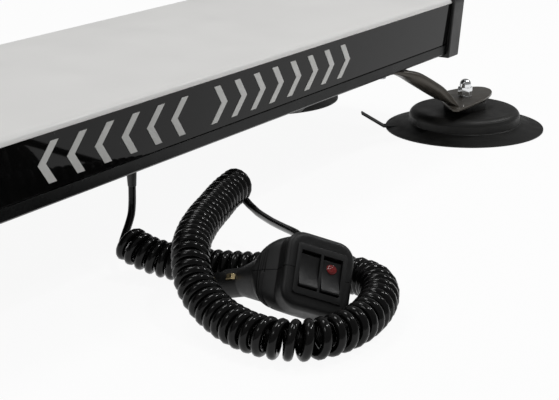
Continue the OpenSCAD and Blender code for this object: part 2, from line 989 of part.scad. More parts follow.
// head of the plug: rings from the barrel's neck up to the tilted face
function between(a, b) = [
  for (i = [1 : head_side_points]) a + (b - a) * i / (head_side_points + 1)
];
function head_outline(inset) =
  let (
    r = face_corner - inset / 2,
    w = head_w / 2 - inset,
    h = head_h / 2 - inset
  )
    concat(
      arc([w - r, h - r], r, 0, 90, 6), between([w - r, h], [r - w, h]),
      arc([r - w, h - r], r, 90, 180, 6), between([-w, h - r], [-w, r - h]),
      arc([r - w, r - h], r, 180, 270, 6), between([r - w, -h], [w - r, -h]),
      arc([w - r, r - h], r, 270, 360, 6), between([w, r - h], [w, h - r])
    );
function face_ring(depth, inset) = [
  for (p = head_outline(inset)) [
    p[0],
    p[1] * cos(face_tilt) + depth * sin(face_tilt),
    p[1] * sin(face_tilt) - depth * cos(face_tilt)
  ]
];
function neck_ring(g) = [
  for (p = head_outline(0))
    let (a = atan2(p[1], p[0]))
      [(neck_r - g) * cos(a), neck_y + g, (neck_r - g) * sin(a)]
];
function face_middle(depth) = [0, depth * sin(face_tilt), -depth * cos(face_tilt)];
function shoulder_ring(t, inset) =
  let (
    a = face_ring(head_full, inset),
    b = neck_ring(inset),
    ca = face_middle(head_full),
    cb = [0, neck_y, 0],
    s = pow(t, shoulder_bulge)
  )
    [for (i = [0 : len(a) - 1]) ca * (1 - t) + cb * t + (a[i] - ca) * (1 - s) + (b[i] - cb) * s];
function groove_rings(t) = concat(
  shoulder_ring(t + rib_gap, 0),
  shoulder_ring(t + rib_gap * 0.8, rib_cut),
  shoulder_ring(t + rib_gap * 0.2, rib_cut),
  shoulder_ring(t, 0)
);
function face_rings(g) = concat(
  face_ring(head_full, g),
  face_ring(face_round + g, g),
  face_ring(1.8 + g, 0.8 + g),
  face_ring(0.5 + g, 2.2 + g),
  face_ring(g, face_round + g)
);
module head_outside() {
  rings = concat(
    neck_ring(0),
    [for (t = groove_spots) for (p = groove_rings(t)) p],
    face_rings(0)
  );
  n = len(head_outline(0));
  polyhedron(points = rings, faces = tube_faces(len(rings) / n, n));
}
module head_inside() {
  rings = concat(
    neck_ring(head_wall),
    [for (t = [0.8, 0.6, 0.4, 0.2]) for (p = shoulder_ring(t, head_wall)) p],
    face_rings(head_wall)
  );
  n = len(head_outline(0));
  polyhedron(points = rings, faces = tube_faces(len(rings) / n, n));
}
module plug_barrel() {
  collar_r = neck_r - head_wall - 0.1;
  color("black")
    in_plug()
      difference() {
        round_y()
          rotate_extrude()
            polygon([
              [barrel_r - barrel_wall, neck_y - collar_h], [collar_r, neck_y - collar_h],
              [collar_r, neck_y], [neck_r, neck_y], [barrel_r, barrel_y],
              [barrel_r, barrel_end], [barrel_r - barrel_wall, barrel_end]
            ]);
        side_slots(side_gap);
      }
}
module shell_hollow() {
  head_inside();
  rotate([face_tilt, 0, 0])
    translate([-insert_l / 2, -insert_w / 2, -head_wall - 1])
      cube([insert_l, insert_w, head_wall + 3]);
  grommet_place()
    translate([0, 0, -grommet_root])
      cylinder(r = grommet_r, h = grommet_root + grommet_len);
}
module side_slots(g) {
  for (s = [0, 1])
    mirror([0, 0, s])
      translate([-side_w / 2 - g, side_y - side_len / 2 - g, 0])
        cube([side_w + 2 * g, side_len + 2 * g, barrel_r + 2]);
}
module bosses(side) {
  for (i = [0, 1])
    translate([side > 0 ? 0 : -boss_reach[i], boss_spots[i][0], boss_spots[i][1]])
      rotate([0, 90, 0])
        cylinder(r = boss_r, h = boss_reach[i]);
}
module boss_bores() {
  for (i = [0, 1])
    translate([-boss_reach[i] - 8, boss_spots[i][0], boss_spots[i][1]])
      rotate([0, 90, 0]) {
        cylinder(r = boss_bore, h = 2 * boss_reach[i] + 2);
        cylinder(r = plug_screw_head_r + 0.3, h = 8 + 2);
      }
}
module plug_shell(side) {
  in_plug()
    difference() {
      union() {
        intersection() {
          difference() {
            head_outside();
            shell_hollow();
          }
          translate([side > 0 ? 0 : -seam_far, -seam_far, -seam_far])
            cube([seam_far, 3 * seam_far, 2 * seam_far]);
        }
        bosses(side);
      }
      boss_bores();
    }
}
module plug_shell_upper() {
  color("black")
    plug_shell(1);
}
module plug_shell_lower() {
  color("black")
    plug_shell(-1);
}
module grommet_place() {
  translate(grommet_at)
    rotate([0, grommet_tip, grommet_turn])
      children();
}
module cord_grommet() {
  color("black")
    in_plug()
      grommet_place()
        rotate_extrude()
          polygon([
            [0, -grommet_root], [grommet_r, -grommet_root], [grommet_r, grommet_len - 2],
            [grommet_mouth_r, grommet_len], [0, grommet_len]
          ]);
}
module wells(z0, h, g) {
  for (s = [-1, 1])
    translate([-well_l / 2 + g, s * rocker_off - well_w / 2 + g, z0])
      cube([well_l - 2 * g, well_w - 2 * g, h]);
}
module plug_bezel() {
  color("black")
    on_plug_face()
      difference() {
        linear_extrude(bezel_t)
          polygon(rounded(bezel_l, bezel_w, bezel_corner));
        wells(-1, bezel_t + 2, 0);
      }
}
module switch_body() {
  color("dimgray")
    on_plug_face()
      difference() {
        translate([-insert_l / 2, -insert_w / 2, -well_depth - insert_floor])
          cube([insert_l, insert_w, well_depth + insert_floor]);
        wells(-well_depth, well_depth + 1, 0);
        translate([0, -insert_w, pivot_z])
          round_y()
            cylinder(r = pivot_r + pivot_gap, h = 2 * insert_w);
      }
}
module switch_blades() {
  color("goldenrod")
    on_plug_face()
      for (s = [-1, 1])
        for (x = blade_spots)
          translate([x - blade_t / 2, s * rocker_off - blade_w / 2, -well_depth - insert_floor - blade_h])
            cube([blade_t, blade_w, blade_h]);
}
module rocker(way) {
  rest = [0, rocker_tilt, 0];
  h = rocker_l / 2;
  translate([0, way * rocker_off, pivot_z])
    rotate(rest)
      difference() {
        union() {
          translate([0, rocker_w / 2, 0])
            rotate([90, 0, 0])
              linear_extrude(rocker_w)
                polygon([
                  [-h, 1.5], [-h + 0.3, rocker_top - 0.4], [-h + 0.7, rocker_top],
                  [-h / 2, rocker_top - rocker_dish * 0.75], [0, rocker_top - rocker_dish],
                  [h / 2, rocker_top - rocker_dish * 0.75], [h - 3, rocker_top],
                  [h - 0.8, rocker_top - 2.2], [h, 1.5], [5, -3], [-5, -3]
                ]);
          translate([0, -rocker_w / 2 - rocker_gap - pivot_reach, 0])
            round_y()
              cylinder(r = pivot_r, h = rocker_w + 2 * (rocker_gap + pivot_reach));
        }
        if (way < 0)
          lens_place()
            cylinder(r = lens_d / 2, h = 4 * lens_sink);
      }
}
module lens_place() {
  translate([lens_x, 0, rocker_top - rocker_dish * 0.8 - lens_sink])
    children();
}
module rocker_front() {
  color("black")
    on_plug_face()
      rocker(-1);
}
module rocker_rear() {
  color("black")
    on_plug_face()
      rocker(1);
}
module pilot_lens() {
  color("darkred")
    on_plug_face()
      translate([0, -rocker_off, pivot_z])
        rotate([0, rocker_tilt, 0])
          lens_place()
            rotate_extrude()
              polygon([
                [0, 0], [lens_d / 2, 0], [lens_d / 2, lens_sink + 0.3],
                [lens_d / 2 * 0.8, lens_sink + lens_rise * 0.7],
                [lens_d / 2 * 0.4, lens_sink + lens_rise], [0, lens_sink + lens_rise]
              ]);
}
module nose_ring() {
  color("black")
    in_plug()
      round_y()
        rotate_extrude()
          polygon([
            [barrel_r - barrel_wall, barrel_end - nose_skirt], [barrel_r - barrel_wall, barrel_end],
            [barrel_r, barrel_end], [barrel_r, barrel_end + 2], [nose_r, barrel_end + 3],
            [nose_r, nose_y - 3], [nose_r - 1.5, nose_y], [tip_r + tip_gap, nose_y],
            [tip_r + tip_gap, nose_y - 2], [tip_flange_r + tip_gap, nose_y - 2],
            [tip_flange_r + tip_gap, barrel_end - nose_skirt]
          ]);
}
module tip_contact() {
  color("silver")
    in_plug()
      round_y()
        rotate_extrude()
          polygon([
            [0, nose_y - 2 - tip_flange_t], [tip_flange_r, nose_y - 2 - tip_flange_t],
            [tip_flange_r, nose_y - 2], [tip_r, nose_y - 2], [tip_r, tip_y - 1.6],
            [tip_r - 1.6, tip_y], [0, tip_y]
          ]);
}
module fuse() {
  color("lightgray")
    in_plug()
      round_y()
        translate([0, 0, nose_y - 2 - tip_flange_t - fuse_len])
          cylinder(r = fuse_r, h = fuse_len);
}
function coil_turn(i) =
  let (a = 30 * i)
    [spring_r * cos(a), spring_r * sin(a), -spring_len * i / (12 * spring_turns)];
module tip_spring() {
  pts = [for (i = [0 : 12 * spring_turns]) coil_turn(i)];
  color("silver")
    in_plug()
      round_y()
        translate([0, 0, nose_y - 2 - tip_flange_t - fuse_len - spring_wire / 2])
          tube(pts, spring_wire / 2, 8);
}
module side_contact(way) {
  in_plug()
    mirror([0, 0, way]) {
      translate([0, side_y, 0])
        rotate([90, 0, 90])
          translate([0, 0, -side_w / 2])
            linear_extrude(side_w)
              polygon([
                [-side_len / 2, 6.4], [-side_len / 2, barrel_r], [-side_len / 2 + 2, side_out],
                [side_len / 2 - 2, side_out], [side_len / 2, barrel_r], [side_len / 2, 6.4]
              ]);
      translate([-side_w / 2, side_y - side_len / 2 - side_flange, 5.4])
        cube([side_w, side_len + 2 * side_flange, side_pad]);
    }
}
module side_contact_a() {
  color("goldenrod")
    side_contact(0);
}
module side_contact_b() {
  color("goldenrod")
    side_contact(1);
}
module plug_screws() {
  color("silver")
    in_plug()
      for (i = [0, 1])
        translate([-boss_reach[i] + 2 - plug_screw_head_h, boss_spots[i][0], boss_spots[i][1]])
          rotate([0, 90, 0]) {
            cylinder(r = plug_screw_head_r, h = plug_screw_head_h);
            cylinder(r = boss_bore, h = 2 * boss_reach[i] - 8);
          }
}

base_pan();
top_cover();
front_window();
rear_window();
front_legend();
rear_legend();
end_cap_left();
end_cap_right();
end_seals();
cap_screws();
led_carrier();
front_led_board();
rear_led_board();
front_leds();
rear_leds();
driver_board();
board_posts();
driver_parts();
terminal_block();
inner_lead();
board_wires();
cable_gland();
leg_front_left();
leg_front_right();
leg_rear_left();
leg_rear_right();
leg_bolts();
leg_nuts();
skirt_front_left();
skirt_front_right();
skirt_rear_left();
skirt_rear_right();
foot_housings();
magnet_cups();
magnets();
foot_hubs();
foot_studs();
foot_washers();
foot_nuts();
cord_lead();
cord_coil();
cord_tail();
plug_shell_upper();
plug_shell_lower();
plug_barrel();
cord_grommet();
plug_bezel();
switch_body();
switch_blades();
rocker_front();
rocker_rear();
pilot_lens();
nose_ring();
tip_contact();
fuse();
tip_spring();
side_contact_a();
side_contact_b();
plug_screws();
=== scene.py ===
import math

import bmesh
import bpy
import numpy as np
from mathutils import Matrix, Vector


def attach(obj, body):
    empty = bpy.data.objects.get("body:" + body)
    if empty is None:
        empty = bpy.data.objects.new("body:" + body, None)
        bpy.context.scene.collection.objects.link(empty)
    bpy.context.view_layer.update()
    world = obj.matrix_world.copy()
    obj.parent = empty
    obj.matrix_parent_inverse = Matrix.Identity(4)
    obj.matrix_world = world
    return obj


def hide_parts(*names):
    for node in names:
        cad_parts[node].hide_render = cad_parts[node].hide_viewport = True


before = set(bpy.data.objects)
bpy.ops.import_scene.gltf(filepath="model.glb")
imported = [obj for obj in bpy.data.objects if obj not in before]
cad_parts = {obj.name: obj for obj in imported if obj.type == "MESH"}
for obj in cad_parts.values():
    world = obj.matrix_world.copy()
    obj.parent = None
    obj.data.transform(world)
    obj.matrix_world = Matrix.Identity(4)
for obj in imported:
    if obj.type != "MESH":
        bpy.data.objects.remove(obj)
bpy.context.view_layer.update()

# Lengths below are in millimetres, as in the part's source, and are scaled to metres by MM.
MM = 0.001
UP = Vector((0, 0, 1))

# ---------------------------------------------------------------- camera

IMAGE_WIDTH = 559
FOCAL_PIXELS = 1394.5
CAMERA_AT = (-875.65, -751.67, 376.49)
CAMERA_GROUND = (0.833, 0.553, 0)
CAMERA_PITCH = math.radians(17.74)
CAMERA_ROLL = math.radians(-0.37)


def make_camera():
    data = bpy.data.cameras.new("view")
    data.sensor_fit = "HORIZONTAL"
    data.sensor_width = 36
    data.lens = 36 * FOCAL_PIXELS / IMAGE_WIDTH
    data.clip_start, data.clip_end = 0.02, 60
    cam = bpy.data.objects.new("view", data)
    bpy.context.collection.objects.link(cam)
    ground = Vector(CAMERA_GROUND).normalized()
    forward = ground * math.cos(CAMERA_PITCH) - UP * math.sin(CAMERA_PITCH)
    right = forward.cross(UP).normalized()
    up = right.cross(forward)
    c, s = math.cos(CAMERA_ROLL), math.sin(CAMERA_ROLL)
    axes = (right * c + up * s, up * c - right * s, -forward)
    cam.matrix_world = Matrix.Translation(Vector(CAMERA_AT) * MM) @ Matrix(axes).transposed().to_4x4()
    bpy.context.scene.camera = cam


# ---------------------------------------------------------------- mesh helpers


def new_object(name, mesh):
    obj = bpy.data.objects.new(name, mesh)
    bpy.context.collection.objects.link(obj)
    return obj


def outward(bm):
    """Faces look out of the closed or nearly closed form."""
    bmesh.ops.recalc_face_normals(bm, faces=bm.faces)
    middle = sum((v.co for v in bm.verts), Vector()) / len(bm.verts)
    if sum(f.normal.dot(f.calc_center_median() - middle) * f.calc_area() for f in bm.faces) < 0:
        bmesh.ops.reverse_faces(bm, faces=bm.faces)


def mesh_object(name, bm, place=Matrix(), sharp=35):
    """Object from a bmesh in millimetres, put in its place in metres, smooth up to the given edge angle."""
    bm.transform(Matrix.Scale(MM, 4) @ place)
    mesh = bpy.data.meshes.new(name)
    bm.to_mesh(mesh)
    bm.free()
    mesh.polygons.foreach_set("use_smooth", [True] * len(mesh.polygons))
    mesh.set_sharp_from_angle(angle=math.radians(sharp))
    return new_object(name, mesh)


def loft(rings, first=True, last=True):
    """Surface through rings of the same number of points."""
    bm = bmesh.new()
    rows = [[bm.verts.new(p) for p in ring] for ring in rings]
    n = len(rows[0])
    for a, b in zip(rows, rows[1:]):
        for k in range(n):
            bm.faces.new((a[k], a[(k + 1) % n], b[(k + 1) % n], b[k]))
    if first:
        bm.faces.new(rows[0][::-1])
    if last:
        bm.faces.new(rows[-1])
    outward(bm)
    return bm


def round_edges(bm, size, segments=3, angle=30):
    edges = [
        e for e in bm.edges if len(e.link_faces) == 2 and e.calc_face_angle() > math.radians(angle)
    ]
    bmesh.ops.bevel(
        bm, geom=edges, offset=size, segments=segments, profile=0.5, affect="EDGES", clamp_overlap=True
    )


def revolve(profile, sides=64):
    """Form turned about Z from (radius, height) points."""
    rings = [
        [(r * math.cos(a), r * math.sin(a), z) for a in np.linspace(0, 2 * math.pi, sides, endpoint=False)]
        for r, z in profile
    ]
    return loft(rings)


def outline(width, height, radius, corner=9, side=7):
    """Points of a rounded rectangle, counterclockwise, with points along its sides too."""
    points = []
    centres = [(1, 1, 0), (-1, 1, 90), (-1, -1, 180), (1, -1, 270)]
    for i, (sx, sy, start) in enumerate(centres):
        cx, cy = sx * (width / 2 - radius), sy * (height / 2 - radius)
        arc = [
            (cx + radius * math.cos(math.radians(a)), cy + radius * math.sin(math.radians(a)))
            for a in np.linspace(start, start + 90, corner)
        ]
        points += arc
        nx, ny, turn = centres[(i + 1) % 4]
        end = (
            nx * (width / 2 - radius) + radius * math.cos(math.radians(turn)),
            ny * (height / 2 - radius) + radius * math.sin(math.radians(turn)),
        )
        for t in np.linspace(0, 1, side + 2)[1:-1]:
            points.append((arc[-1][0] * (1 - t) + end[0] * t, arc[-1][1] * (1 - t) + end[1] * t))
    return points


def cut(obj, cutters):
    """Takes the cutters' volume out of the object and deletes them."""
    for c in cutters:
        m = obj.modifiers.new("cut", "BOOLEAN")
        m.operation, m.solver, m.object = "DIFFERENCE", "EXACT", c
        m.use_self = True
    settle(obj)
    for c in cutters:
        bpy.data.objects.remove(c)


def settle(obj):
    """Writes the object's modifiers into its mesh."""
    graph = bpy.context.evaluated_depsgraph_get()
    mesh = bpy.data.meshes.new_from_object(obj.evaluated_get(graph))
    obj.modifiers.clear()
    obj.data = mesh


def curve_through(points, step):
    """Catmull-Rom line through the points, sampled at about the step."""
    p = np.array(points, float)
    p = np.vstack([2 * p[0] - p[1], p, 2 * p[-1] - p[-2]])
    out = []
    for i in range(1, len(p) - 2):
        n = max(2, int(np.linalg.norm(p[i + 1] - p[i]) / step))
        t = (np.arange(n) / n)[:, None]
        a, b, c, d = p[i - 1], p[i], p[i + 1], p[i + 2]
        out.append(
            0.5 * (2 * b + (c - a) * t + (2 * a - 5 * b + 4 * c - d) * t**2 + (3 * b - a - 3 * c + d) * t**3)
        )
    return np.vstack([*out, p[-2:-1]])


# ---------------------------------------------------------------- cord

CORD_D = 6.1
WOUND_D = 7.2
COIL_D = 28.5
POINTS_A_TURN = 18
LEAD = [
    (-72, -80, 58), (-72, -80, 56), (-72.3, -80, 47.1), (-73.2, -80.2, 40), (-75.5, -80.9, 33.5),
    (-80.5, -82.2, 27.5), (-87.5, -84.6, 22.6), (-95.5, -88.2, 18.6), (-102, -92.4, 15.9),
    (-106.3, -97, 14.6),
]
COIL_LINE = [
    (-110, -106, 25), (-110, -119, 21), (-108, -130, 18), (-105, -140, 16),
    (-101, -157, 14.7), (-97, -174, 14.5), (-89, -195, 14.5), (-79, -216, 14.5),
    (-68, -238, 14.5), (-58, -258, 14.5), (-54, -276, 14.5), (-60, -292, 14.5),
    (-78, -306, 14.5), (-102, -315, 14.5), (-128, -319, 14.5), (-152, -316, 14.5),
    (-171, -306, 14.5), (-181, -288, 14.5), (-182, -266, 15), (-177, -244, 17),
    (-170, -224, 22), (-160, -206, 30), (-143, -190, 40), (-120, -175, 44),
    (-90, -161, 46), (-57, -149, 47), (-31, -140, 48), (-5, -134, 49),
]
# Distance between turns at each point of the coil's middle line
COIL_PITCH = [8.0] * 5 + [7.6] * 6 + [9.5] * 7 + [8.2] * 10
TAIL = [
    (-4.2, -139.5, 36.6), (-5.5, -145, 33.6), (-8, -151, 31.9), (-13, -158, 31.6),
    (-22, -169.8, 32.8), (-38, -189.3, 36.2), (-55, -210, 40.7), (-66, -223.3, 43.9),
    (-75, -234.4, 46.2), (-80.6, -240.9, 46.8), (-85.85, -246.9, 46.81), (-88.4, -249.9, 46.6),
]


def coil_points():
    """Left-handed helix round the coil's middle line, from the bottom of its first turn to the bottom of its last."""
    line = curve_through(COIL_LINE, 1.0)
    steps = np.linalg.norm(np.diff(line, axis=0), axis=1)
    along = np.concatenate([[0], np.cumsum(steps)])
    knots = [along[np.argmin(np.linalg.norm(line - np.array(p), axis=1))] for p in COIL_LINE]
    pitch = np.interp(along, knots, COIL_PITCH)
    turns = np.concatenate([[0], np.cumsum(steps / ((pitch[1:] + pitch[:-1]) / 2))])
    whole = round(turns[-1])
    turns *= whole / turns[-1]
    tangents = np.gradient(line, axis=0)
    at = np.arange(whole * POINTS_A_TURN + 1) / POINTS_A_TURN
    middle = np.stack([np.interp(at, turns, line[:, k]) for k in range(3)], 1)
    t = np.stack([np.interp(at, turns, tangents[:, k]) for k in range(3)], 1)
    t /= np.linalg.norm(t, axis=1)[:, None]
    side = np.cross(t, [0, 0, 1])
    side /= np.linalg.norm(side, axis=1)[:, None]
    up = np.cross(side, t)
    turn = 2 * math.pi * at[:, None]
    # each wound turn sits a little differently from the next
    seat = 1 + 0.012 * np.sin(1.7 * at + 0.6 * np.sin(0.31 * at))[:, None]
    radius = (COIL_D - WOUND_D) / 2 * np.minimum(seat, 1.0)
    return middle + radius * (np.sin(turn) * side - np.cos(turn) * up)


def make_cord():
    coil = coil_points()
    whole = curve_through([*LEAD, *coil[:3]], 3)
    tail = curve_through([*coil[-3:], *TAIL], 3)
    lead = whole[: np.argmin(np.linalg.norm(whole - coil[0], axis=1))]
    tail = tail[np.argmin(np.linalg.norm(tail - coil[-1], axis=1)) + 1 :]
    points = np.vstack([lead, coil, tail]) * MM
    # the wound part is thicker than the straight ends, and swells over the first and last quarter turn
    order = np.arange(len(points))
    swell = POINTS_A_TURN // 4
    ends = (len(lead) - swell, len(lead) + swell, len(lead) + len(coil) - swell, len(lead) + len(coil) + swell)
    thick = np.interp(order, ends, (CORD_D, WOUND_D, WOUND_D, CORD_D)) / CORD_D
    data = bpy.data.curves.new("cord_line", "CURVE")
    data.dimensions = "3D"
    data.bevel_depth = CORD_D / 2 * MM
    data.bevel_resolution = 4
    data.use_fill_caps = True
    spline = data.splines.new("POLY")
    spline.points.add(len(points) - 1)
    spline.points.foreach_set("co", np.hstack([points, np.ones((len(points), 1))]).ravel())
    spline.points.foreach_set("radius", thick)
    spline.use_smooth = True
    line = new_object("cord_line", data)
    bpy.context.view_layer.update()
    graph = bpy.context.evaluated_depsgraph_get()
    mesh = bpy.data.meshes.new_from_object(line.evaluated_get(graph))
    bpy.data.objects.remove(line)
    mesh.polygons.foreach_set("use_smooth", [True] * len(mesh.polygons))
    cord = new_object("supply_cord", mesh)
    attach(cord, "bar")
    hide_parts("cord_lead", "cord_coil", "cord_tail")
    mesh.materials.clear()
    mesh.materials.append(FINISH["cord_black"])
    return cord, points


# ---------------------------------------------------------------- plug

PLUG_AT = (-110.7, -276.8, 34.8)
PLUG_TURN = (-23.66, -47.31, 21.34)
FACE_TILT = 57.3
HEAD_W = 57
HEAD_H = 52
FACE_CORNER = 13
FACE_ROUND = 4
HEAD_FULL = 13
NECK_Y = 46
NECK_R = 16.5
COLLAR_R = 14.25
SHOULDER_BULGE = 1.8
GROOVES = (0.58, 0.5, 0.42, 0.34)
GROOVE_W = 0.05
GROOVE_DEPTH = 1.4
SHOULDER_STEPS = 120
SEAM = 0.22
SHELL_WALL = 1.8
INSERT_W = 35.4
INSERT_H = 35.6
SCREW_SPOTS = ((25, -11, 22.9), (31, 7.5, 24.2))
SCREW_HOLE_R = 2.8


def turned(degrees):
    x, y, z = (math.radians(a) for a in degrees)
    return Matrix.Rotation(z, 4, "Z") @ Matrix.Rotation(y, 4, "Y") @ Matrix.Rotation(x, 4, "X")


IN_PLUG = Matrix.Translation(PLUG_AT) @ turned(PLUG_TURN)
ON_FACE = IN_PLUG @ turned((FACE_TILT, 0, 0))


def face_ring(width, height, corner, depth):
    c, s = math.cos(math.radians(FACE_TILT)), math.sin(math.radians(FACE_TILT))
    return np.array([(x, y * c + depth * s, y * s - depth * c) for x, y in outline(width, height, corner)])


def head_ring(inset, depth):
    return face_ring(HEAD_W - 2 * inset, HEAD_H - 2 * inset, FACE_CORNER - inset / 2, depth)


def neck_ring(radius, y):
    angles = [math.atan2(q, p) for p, q in outline(HEAD_W, HEAD_H, FACE_CORNER)]
    return np.array([(radius * math.cos(a), y, radius * math.sin(a)) for a in angles])


def shoulder_ring(t, inset):
    """Ring at share t of the shoulder, whose middle moves evenly and whose size swells outward."""
    c, s = math.cos(math.radians(FACE_TILT)), math.sin(math.radians(FACE_TILT))
    face, neck = np.array((0, HEAD_FULL * s, -HEAD_FULL * c)), np.array((0, NECK_Y, 0))
    a, b = head_ring(inset, HEAD_FULL), neck_ring(NECK_R - inset, NECK_Y)
    share = t**SHOULDER_BULGE
    return face * (1 - t) + neck * t + (a - face) * (1 - share) + (b - neck) * share


def groove(t):
    """Depth of the grip grooves at share t of the shoulder, from 0 at the head to 1 at the neck."""
    deep = 0
    for spot in GROOVES:
        d = abs(t - spot - GROOVE_W / 2) / (GROOVE_W / 2)
        deep = max(deep, min(1, max(0, 1.15 - d) * 3))
    return GROOVE_DEPTH * deep


def head_rings():
    rings = [neck_ring(COLLAR_R, NECK_Y - 3), neck_ring(COLLAR_R, NECK_Y), neck_ring(NECK_R - 0.4, NECK_Y)]
    for t in np.linspace(0.985, 0.015, SHOULDER_STEPS):
        rings.append(shoulder_ring(t, groove(t)))
    rings += [head_ring(0, d) for d in (HEAD_FULL - 1, 8, FACE_ROUND + 0.5)]
    for a in np.linspace(0, math.pi / 2, 7):
        rings.append(head_ring(FACE_ROUND * (1 - math.cos(a)), FACE_ROUND * (1 - math.sin(a))))
    rings.append(head_ring(FACE_ROUND + 1.2, 0))
    for w in (1.0, 0):
        rings.append(face_ring(INSERT_W + w, INSERT_H + w, 2.5, 0))
    rings.append(face_ring(INSERT_W, INSERT_H, 2.5, 2.5))
    return rings


def plug_half(name, way, node):
    """One moulded half of the head, with its wall, up to the seam across the face."""
    bm = loft(head_rings(), first=False, last=False)
    geometry = [*bm.verts, *bm.edges, *bm.faces]
    bmesh.ops.bisect_plane(
        bm, geom=geometry, plane_co=(way * SEAM, 0, 0), plane_no=(-way, 0, 0), clear_outer=True
    )
    half = mesh_object(name, bm, IN_PLUG, sharp=50)
    wall = half.modifiers.new("wall", "SOLIDIFY")
    wall.thickness = SHELL_WALL * MM
    wall.offset = -1
    settle(half)
    half.data.set_sharp_from_angle(angle=math.radians(38))
    if way < 0:
        cutters = []
        for y, z, x in SCREW_SPOTS:
            tool = revolve([(SCREW_HOLE_R, -14), (SCREW_HOLE_R, 2.1)], 32)
            turn = Matrix.Translation((-x, y, z)) @ Matrix.Rotation(math.pi / 2, 4, "Y")
            cutters.append(mesh_object("tool", tool, IN_PLUG @ turn))
        cut(half, cutters)
    return dress(half, "bar", "plug_black", node)


def dress(obj, body, slot, *nodes):
    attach(obj, body)
    if nodes:
        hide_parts(*nodes)
    obj.data.materials.clear()
    obj.data.materials.append(FINISH[slot])
    return obj


ROCKER_L = 26.7
ROCKER_W = 14.2
ROCKER_TILT = 7
ROCKER_TOP = 5.5
ROCKER_DISH = 1.5
ROCKER_OFF = 8.4
PIVOT_Z = -4
WELL_L = 27.6
WELL_W = 14.8
BEZEL_L = 37
BEZEL_W = 38
BEZEL_T = 1.4


def rocker_place(way):
    return ON_FACE @ Matrix.Translation((0, way * ROCKER_OFF, PIVOT_Z)) @ turned((0, ROCKER_TILT, 0))


def make_rocker(name, way, body):
    """Rocker with a dished top between two raised ends."""
    h = ROCKER_L / 2
    low, high = 0.7 - h, h - 3
    middle, reach = (low + high) / 2, (high - low) / 2
    top = [(x, ROCKER_TOP - ROCKER_DISH * (1 - ((x - middle) / reach) ** 2)) for x in np.linspace(low, high, 19)]
    profile = [(-5, -3), (-h, 1.5), (-h + 0.3, 5.1), *top, (h - 0.8, 3.3), (h, 1.5), (5, -3)]
    half = ROCKER_W / 2
    bm = loft([[(x, y, z) for x, z in profile] for y in (-half, half)])
    round_edges(bm, 0.25, 3, 28)
    return dress(mesh_object(name, bm, rocker_place(way), 30), body, "rocker_black", body)


def make_bezel():
    bm = loft([[(x, y, z) for x, y in outline(BEZEL_L, BEZEL_W, 2, 6, 0)] for z in (0, BEZEL_T)])
    bezel = mesh_object("switch_frame", bm, ON_FACE)
    wells = []
    for s in (-1, 1):
        box = bmesh.new()
        bmesh.ops.create_cube(box, size=1)
        box.transform(
            Matrix.Translation((0, s * ROCKER_OFF, 0)) @ Matrix.Diagonal((WELL_L, WELL_W, 8, 1))
        )
        wells.append(mesh_object("tool", box, ON_FACE))
    cut(bezel, wells)
    soft = bezel.modifiers.new("soft", "BEVEL")
    soft.width, soft.segments, soft.limit_method = 0.3 * MM, 3, "ANGLE"
    settle(bezel)
    bezel.data.set_sharp_from_angle(angle=math.radians(30))
    return dress(bezel, "bar", "bezel_black", "plug_bezel")


LENS_R = 3.96
LENS_AT = (5.5, 0, 3.1)


def make_lens():
    profile = [(0.01, 0.0), (LENS_R, 0.0), (LENS_R, 1.4)]
    profile += [(3.9 * math.cos(a), 1.45 + 0.8 * math.sin(a)) for a in np.linspace(0.05, 1.45, 9)]
    profile.append((0.01, 2.26))
    place = rocker_place(-1) @ Matrix.Translation(LENS_AT)
    return dress(mesh_object("pilot_window", revolve(profile, 40), place, 50), "rocker_front", "lens_red", "pilot_lens")


# ---------------------------------------------------------------- feet and legs

FOOT_X = 420
FOOT_Y = 125.8
LEAF_Z = 30
LEAF_T = 3.5
TAB_Z = 76.25
LEG_RINGS = [
    (-141, 44, 1, 11, 1.75, 72, 0.3, 0), (-106, 34, 1, 11, 1.75, 72, 0.3, 0),
    (-97, 29.5, 0.955, 11.5, 3, 72, 0.5, 0.1), (-88, 25, 0.89, 12, 5, 73, 0.8, 0.4),
    (-79, 21, 0.79, 12.3, 6.6, 74, 0.85, 0.55), (-69, 17.3, 0.655, 12.3, 7, 75, 0.85, 0.6),
    (-58, 13.6, 0.5, 12.5, 7, 75, 0.85, 0.6), (-49, 10.5, 0.37, 13, 6.8, 73, 0.85, 0.55),
    (-42, 8, 0.25, 15, 5.8, 67, 0.8, 0.4), (-35.5, 6.3, 0.14, 20, 4, 58, 0.7, 0.2),
    (-29, 5, 0.05, 26, 2.4, 49, 0.5, 0), (-20, 4, 0, 29, 1.2, 42, 0.3, 0),
]
LEAF_OUTLINE = [
    (-54, -18.5), (-49, -19.8), (-30, -20.8), (-3, -21.2), (14, -20), (28, -17),
    (38, -13), (45, -7.5), (49, -1), (49.5, 5), (46, 11.5), (38, 18), (26, 23.5),
    (13, 27.5), (3, 28.5), (-8, 26.5), (-22, 17), (-36, 5), (-48, -6), (-55, -14),
]


def foot_place(sx, sy):
    """Place of one foot; the mirrored ones keep their faces looking out."""
    return Matrix.Diagonal((sx, sy, 1, 1)) @ Matrix.Translation((FOOT_X, -FOOT_Y, 0))


